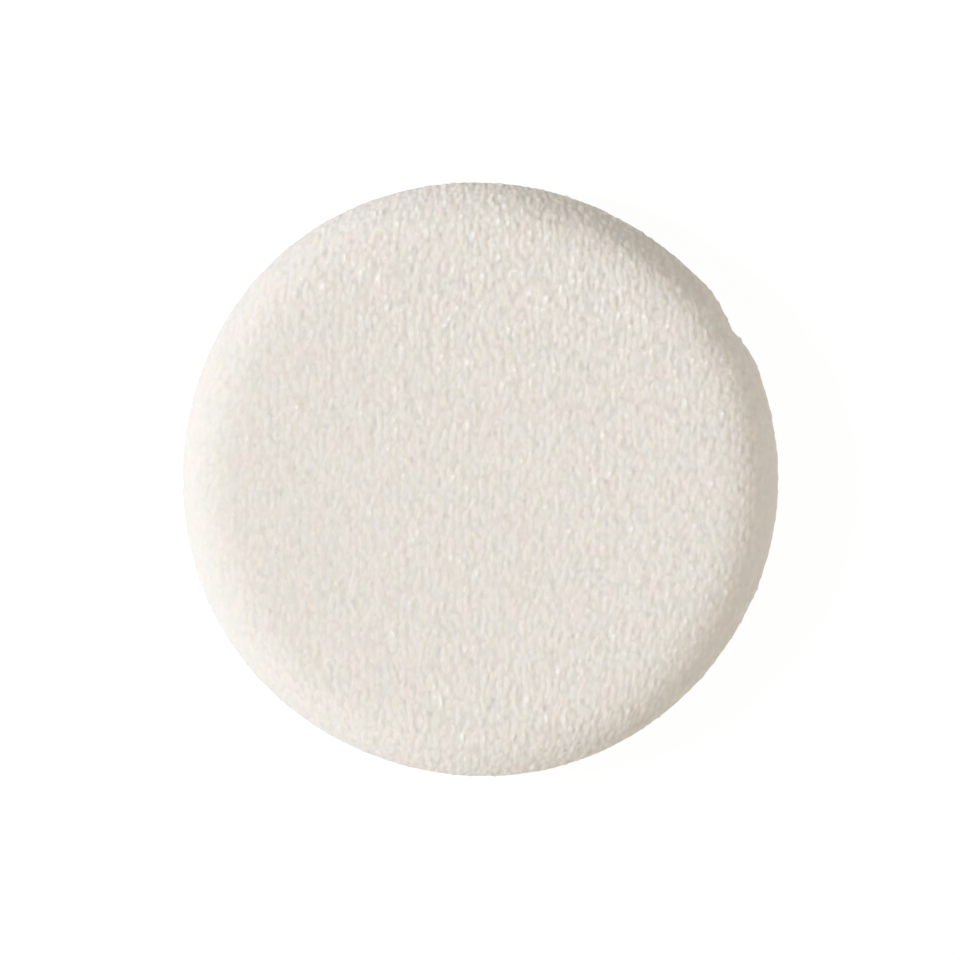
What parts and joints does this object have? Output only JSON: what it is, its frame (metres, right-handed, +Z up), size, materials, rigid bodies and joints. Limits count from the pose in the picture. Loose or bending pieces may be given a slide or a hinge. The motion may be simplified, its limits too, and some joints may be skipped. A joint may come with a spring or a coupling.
{
  "type": "powder puff",
  "caption": "Flat round velour powder puff with a crowned padded face, a drawn-in edge seam and a satin finger ribbon across the back.",
  "frame": {"origin": "middle of the puff on the surface that its back lies on", "axes": "+Z up through the powder face, +X along the ribbon on the back, +Y across the ribbon"},
  "size_m": [0.07, 0.07, 0.011],
  "materials": {
    "velour": "ivory cotton knit velour, matt pile",
    "foam": "pale open-cell foam",
    "satin_ribbon": "ivory satin weave, soft sheen",
    "sewing_thread": "ivory spun thread"
  },
  "bodies": {
    "puff": {"front_velour_cover": "velour", "back_velour_cover": "velour", "foam_core": "foam", "seam_needle_thread": "sewing_thread", "seam_bobbin_thread": "sewing_thread", "closing_thread": "sewing_thread", "ribbon_tack_left": "sewing_thread", "ribbon_tack_right": "sewing_thread"},
    "ribbon": {"ribbon_strap": "satin_ribbon"}
  },
  "joints": [
    {"name": "ribbon_lift", "type": "slide", "parent": "puff", "child": "ribbon", "axis": [0, 0, -1], "range_m": [0, 0.008], "deforming": ["ribbon_strap"]}
  ]
}
